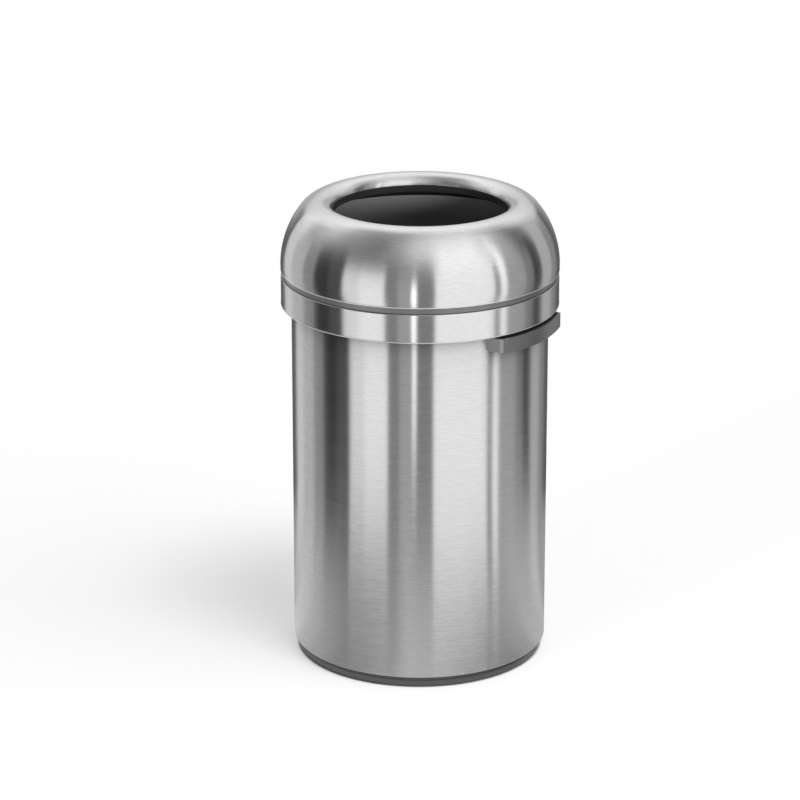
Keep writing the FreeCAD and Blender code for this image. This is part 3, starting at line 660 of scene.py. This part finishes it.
dome_outline += arc(bead_top_centre, bead_edge, 0, 60, bead_steps)
dome_outline += [(dome_wall, dome_low.z + bead_height)]
dome_outline += arc(wall_centre, wall_arc, 0, join_angle, wall_steps)
dome_outline += arc(shoulder_centre, shoulder_arc, join_angle, 90, shoulder_steps)[1:]
dome_outline += arc(lip_centre, lip_roll, 90, lip_end_angle, lip_steps)[1:]
dome_outline += arc(lip_centre, lip_roll - sheet_gauge, lip_end_angle, 90, lip_steps)
dome_outline += arc(shoulder_centre, shoulder_arc - sheet_gauge, 90, join_angle, shoulder_steps)[1:]
dome_outline += arc(wall_centre, wall_arc - sheet_gauge, join_angle, 0, wall_steps)[1:]
dome_outline += arc(bend_centre, sheet_bend - sheet_gauge, 0, -90, bend_steps)
dome_outline += [(dome_hem, dome_low.z + sheet_gauge), (dome_hem, dome_low.z)]
dome = turned("steel_dome", dome_outline)
fit(dome, "dome_shell", "lid", steel)
# Painted shade: a near black, dull steel colour for the inside of the dome below the lip.
inside, paint, surface = new_finish("dull_steel_painted_shade")
patches = grain(paint, 25 * mm, 4)
paint.fill(surface, {
    "Base Color": tinted(paint, patches, grey(0.02), grey(0.04)),
    "Metallic": 0.6,
    "Roughness": patches * 0.2 + 0.5,
})
dome.data.materials.append(inside)
for face in dome.data.polygons:
    spread = math.hypot(face.center.x, face.center.y)
    outward = face.normal.x * face.center.x + face.normal.y * face.center.y
    on_inside = (outward < 0) == (spread > crown_radius)
    if on_inside and face.center.z < dome_high.z - lip_roll / 2:
        face.material_index = 1
paint_bead_highlight(dome, dome_low.z, dome_wall)


# Edging: a black plastic ring clipped under the steel lip, so that no hand or bag meets the raw edge. A
# thin tongue runs up behind the lip and holds it there.
edging_low, edging_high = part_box("throat_ring")
edging_outer = edging_high.x
edging_inner = edging_outer - 4 * mm
edging_top = lip_centre[1] + lip_roll * math.sin(math.radians(lip_end_angle)) - 0.2 * mm
edging_round = 1.5 * mm
edging_edge = 0.4 * mm
tongue = edging_inner + 1.2 * mm
tongue_lean = 0.9 * mm
edging = turned("throat_edging", rounded([
    (edging_inner, edging_top),
    (edging_inner, edging_low.z, edging_round),
    (edging_outer, edging_low.z, edging_edge),
    (edging_outer, edging_high.z),
    (tongue + tongue_lean, edging_high.z),
    (tongue, edging_top),
]))
fit(edging, "throat_ring", "lid", moulded("edging_plastic", 0.014, 0.35))


# Liner: a dark grey wall inside the dome that keeps the steel clean. Its foot stands on the dome's hem,
# and screws from below clamp the hem between the liner and the rim.
liner_low, liner_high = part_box("dome_liner")
liner_foot = liner_high.x
liner_flange = liner_low.z + 2.5 * mm
liner_wall_foot = spigot_inner + 2.6 * mm
liner_top_outer = spigot_inner + 1 * mm
liner_top_inner = spigot_inner - 0.6 * mm
liner_edge = 0.4 * mm
liner = turned("dome_liner_wall", rounded([
    (spigot_inner, liner_low.z),
    (liner_foot, liner_low.z),
    (liner_foot, liner_flange),
    (liner_wall_foot, liner_flange),
    (liner_top_outer, liner_high.z, liner_edge),
    (liner_top_inner, liner_high.z, liner_edge),
]))
fit(liner, "dome_liner", "lid", moulded("liner_plastic", 0.2, 0.4))
dress("lid_screws", zinc)


# Studio: a pale floor, a tent of soft light round the bin with lit strips and a low apron inside it, and
# five lamps. Only the steel and other glossy skins mirror the tent, and only the lamps and the pale room
# cast light and shade. Three lamps are soft, and two narrow beams reach in over the near lip.
def seen_plainly(paint):
    """1 for rays from the camera, a mirror or glass, and 0 for light that falls on a surface."""
    seen = paint.node("LightPath", {}, {}, "Is Camera Ray")
    mirrored = paint.node("LightPath", {}, {}, "Is Glossy Ray")
    through = paint.node("LightPath", {}, {}, "Is Transmission Ray")
    return (seen + mirrored + through).held()


floor_reach = 12
floor_glow = 0.505
painted_foot_shade_width = 4 * mm
shape = bmesh.new()
bmesh.ops.create_grid(shape, x_segments=1, y_segments=1, size=floor_reach)
floor = made("floor", shape)
material, paint, surface = new_finish("pale_floor")
paint.fill(surface, {"Base Color": grey(0.5), "Roughness": 0.9, "Specular IOR Level": 0.0})
off_centre = (place(paint, "X") ** 2 + place(paint, "Y") ** 2) ** 0.5
# Painted shade: the floor's glow is taken away under the base and fades back in over a few millimetres past
# its foot.
painted_foot_shade_mask = ((off_centre - foot_radius) / painted_foot_shade_width).held()
glow = paint.node("Emission", {}, {
    "Color": tinted(paint, seen_plainly(paint) * painted_foot_shade_mask, grey(0), grey(floor_glow)),
})
lit = paint.node("AddShader", {}, {0: Link(paint.tree, surface.outputs[0]), 1: glow})
paint.fill(material.node_tree.nodes["Material Output"], {"Surface": lit})
floor.data.materials.append(material)

world = bpy.data.worlds.new("studio")
bpy.context.scene.world = world
world.use_nodes = True
sky = Link(world.node_tree)
ambient = 0.3
sky.fill(world.node_tree.nodes["Background"], {
    "Color": grey(1),
    "Strength": seen_plainly(sky) * (1 - ambient) + ambient,
})

view_turn = math.radians(35)
right = Vector((math.cos(view_turn), math.sin(view_turn), 0))
forward = Vector((math.sin(view_turn), -math.cos(view_turn), 0))
upward = Vector((0, 0, 1))


def soft_level(bays, blend, angle):
    """The level at an angle of bays that each start at an angle, with soft joins this many degrees wide."""
    level = bays[-1][1]
    for start, bay_level in bays:
        level += (bay_level - level) * min(max((angle - start) / blend + 0.5, 0), 1)
    return level


def panel(name, columns, rows):
    """A lit sheet round the bin: columns of (angle, cover), rows of (reach, height, bays, blend, cover).

    Angles are in degrees, with 0 towards the camera and 90 to its right, and a cover of 0 is clear.
    """
    shape = bmesh.new()
    glow = shape.verts.layers.float_color.new("glow")
    lines = []
    for angle, column_cover in columns:
        away = forward * math.cos(math.radians(angle)) + right * math.sin(math.radians(angle))
        line = []
        for reach, height, bays, blend, row_cover in rows:
            spot = shape.verts.new(away * reach + upward * height)
            spot[glow] = grey(soft_level(bays, blend, angle))[:3] + (column_cover * row_cover,)
            line.append(spot)
        lines.append(line)
    for line, following in zip(lines, lines[1:]):
        for index in range(1, len(rows)):
            shape.faces.new((line[index - 1], line[index], following[index], following[index - 1]))
    lit_sheet = made(name, shape)
    material, paint, surface = new_finish(name)
    tone = paint.node("Attribute", {"attribute_name": "glow"}, {}, "Color")
    cover = paint.node("Attribute", {"attribute_name": "glow"}, {}, "Alpha")
    light = paint.node("Emission", {}, {"Color": tone})
    clear = paint.node("BsdfTransparent", {}, {})
    paint.fill(material.node_tree.nodes["Material Output"], {
        "Surface": paint.node("MixShader", {}, {0: cover, 1: clear, 2: light}),
    })
    lit_sheet.data.materials.append(material)
    lit_sheet.visible_camera = False
    lit_sheet.visible_diffuse = False
    lit_sheet.visible_shadow = False
    lit_sheet.visible_transmission = False


tent_reach = 0.7
tent_top = 1.87
wall = [
    (-180, 0.12), (-132, 0.72), (-115, 0.54), (-97, 0.28), (-84, 0.03), (-70, 0.08), (-57, 0.93),
    (-44, 1.1), (-25, 0.26), (-16, 0.42), (-7, 0.23), (10, 1.1), (54, 0.26), (59, 1.2), (64.5, 0.42),
    (83, 0.26), (92, 0.055), (103, 0.5), (120, 0.28), (133, 0.12),
]
shoulder = [
    (-180, 0.75), (-135, 1.0), (-113, 0.35), (-93, 0.28), (-85, 0.06), (-57, 0.1), (-30, 0.18), (-6, 0.18),
    (11, 1.2), (54, 0.9), (66, 0.52), (82, 0.2), (91, 0.03), (104, 0.52), (125, 0.75),
]
mid = [
    (-180, 1.05), (-112, 0.92), (-81, 0.48), (-66, 0.26), (-52, 0.18), (-28, 0.52), (-12, 0.95), (2, 1.2),
    (15, 1.35), (52, 0.9), (62, 0.6), (76, 0.42), (86, 0.12), (103, 0.7), (120, 0.95), (135, 1.05),
]
slope = [
    (-180, 1.3), (-125, 0.85), (-100, 0.5), (-60, 0.31), (-26, 0.5), (-10, 0.72), (10, 0.85), (70, 0.6),
    (100, 0.62), (135, 1.25),
]
roof = [(-180, 1.35), (-140, 0.55), (-115, 0.3), (-45, 0.38), (-15, 0.62), (12, 0.85), (140, 1.2)]
peak = [(-180, 0.7), (-140, 0.4), (-20, 0.62), (40, 0.85), (150, 0.7)]
crest = [(0, 0.65)]
all_round = [(angle, 1) for angle in range(-180, 181)]
panel("tent", all_round, [
    (tent_reach, 0.0, wall, 2.5, 1),
    (tent_reach, 0.78, wall, 2.5, 1),
    (tent_reach, 0.87, shoulder, 10, 1),
    (tent_reach, 1.2, mid, 14, 1),
    (tent_reach, 1.6, slope, 20, 1),
    (0.55, tent_top, roof, 30, 1),
    (0.1, tent_top, peak, 40, 1),
    (0.01, tent_top, crest, 40, 1),
])


def strip(name, columns, rows):
    """A lit strip just inside the tent: columns of (angle, cover), rows of (height, level, cover)."""
    reach = tent_reach - 0.01
    panel(name, columns, [(reach, height, [(0, level)], 1, cover) for height, level, cover in rows])


strip("strip_light", [(-7, 0), (-5.5, 1), (-3.5, 1), (-2, 0)], [
    (0.18, 1.4, 0), (0.26, 1.4, 1), (0.42, 1.4, 1), (0.52, 2.3, 1), (0.65, 2.3, 1), (0.73, 2.3, 0),
])
strip("tall_light", [(58, 0), (60, 1), (64, 1), (66, 0)], [
    (0.7, 1.5, 0), (0.8, 1.5, 1), (1.1, 1.5, 1), (1.4, 1.5, 0),
])
strip("back_glow", [(138, 0), (155, 1), (210, 1), (227, 0)], [
    (0.56, 0.5, 0), (0.64, 0.5, 1), (0.76, 0.5, 1), (0.84, 0.5, 0),
])
strip("kick_left", [(-58, 0), (-56, 1), (-26, 1), (-24, 0)], [(0.0, 0.4, 1), (0.05, 0.4, 1), (0.08, 0.4, 0)])
strip("kick_right", [(82, 0), (84, 1), (104, 1), (106, 0)], [(0.0, 0.4, 1), (0.08, 0.4, 1), (0.12, 0.4, 0)])
apron = [
    (-180, 0.42), (-133, 0.66), (-100, 0.56), (-84, 0.46), (-66, 0.34), (-32, 0.4), (-15, 0.58), (17, 0.67),
    (38, 0.58), (57, 0.49), (72, 0.57), (103, 0.68), (118, 0.42),
]
apron_edge = [
    (-180, 0.45), (-118, 0.7), (-92, 0.56), (-74, 0.44), (-55, 0.32), (-26, 0.4), (-12, 0.59), (8, 0.5),
    (20, 0.37), (38, 0.29), (61, 0.39), (78, 0.55), (115, 0.45),
]
apron_lift = 4 * mm
panel("apron", all_round, [
    (0.197, apron_lift, apron_edge, 10, 1),
    (0.6, apron_lift, apron, 10, 1),
    (tent_reach, apron_lift, apron, 10, 1),
])


def lamp(name, kind, aim, settings):
    """A lamp that shines at the opening from a direction of (right, forward, up) and isn't mirrored."""
    lamp_reach = 2
    light = bpy.data.lights.new(name, kind)
    for key, value in settings.items():
        setattr(light, key, value)
    stand = bpy.data.objects.new(name, light)
    bpy.context.scene.collection.objects.link(stand)
    away = (right * aim[0] + forward * aim[1] + upward * aim[2]).normalized()
    stand.location = away * lamp_reach + upward * dome_high.z
    stand.rotation_euler = away.to_track_quat("Z", "Y").to_euler()
    stand.visible_glossy = False


lamp("key", "SUN", (0.24, 0.37, 0.9), {"energy": 1.4, "angle": math.radians(22)})
lamp("side", "SUN", (0.62, 0.33, 0.71), {"energy": 1.1, "angle": math.radians(45)})
lamp("front_left", "SUN", (-0.64, 0.77, 0.04), {"energy": 2.6, "angle": math.radians(5)})
beam = {"spot_size": math.radians(15), "spot_blend": 1, "shadow_soft_size": 0.15}
lamp("opening_right", "SPOT", (0.36, 0.92, 0.17), {"energy": 165, **beam})
lamp("opening_left", "SPOT", (-0.35, 0.92, 0.17), {"energy": 28, **beam})


# Camera: a long lens that looks a little down on the bin, from the right of its front. Its distance and
# its aim are multiples of the band's radius, so that the bin fills the same part of the frame.
camera_distance = 25.3651 * band_radius
camera_pitch = math.radians(19.087)
aim_aside = -0.1435 * band_radius
aim_height = 1.874 * band_radius
lens = bpy.data.cameras.new("camera")
lens.lens = 157.306
lens.sensor_width = 36
camera = bpy.data.objects.new("camera", lens)
bpy.context.scene.collection.objects.link(camera)
camera.location = (
    right * aim_aside
    + forward * (camera_distance * math.cos(camera_pitch))
    + upward * (aim_height + camera_distance * math.sin(camera_pitch))
)
camera.rotation_euler = (math.pi / 2 - camera_pitch, 0, view_turn)
bpy.context.scene.camera = camera
bpy.context.scene.view_settings.view_transform = "Standard"
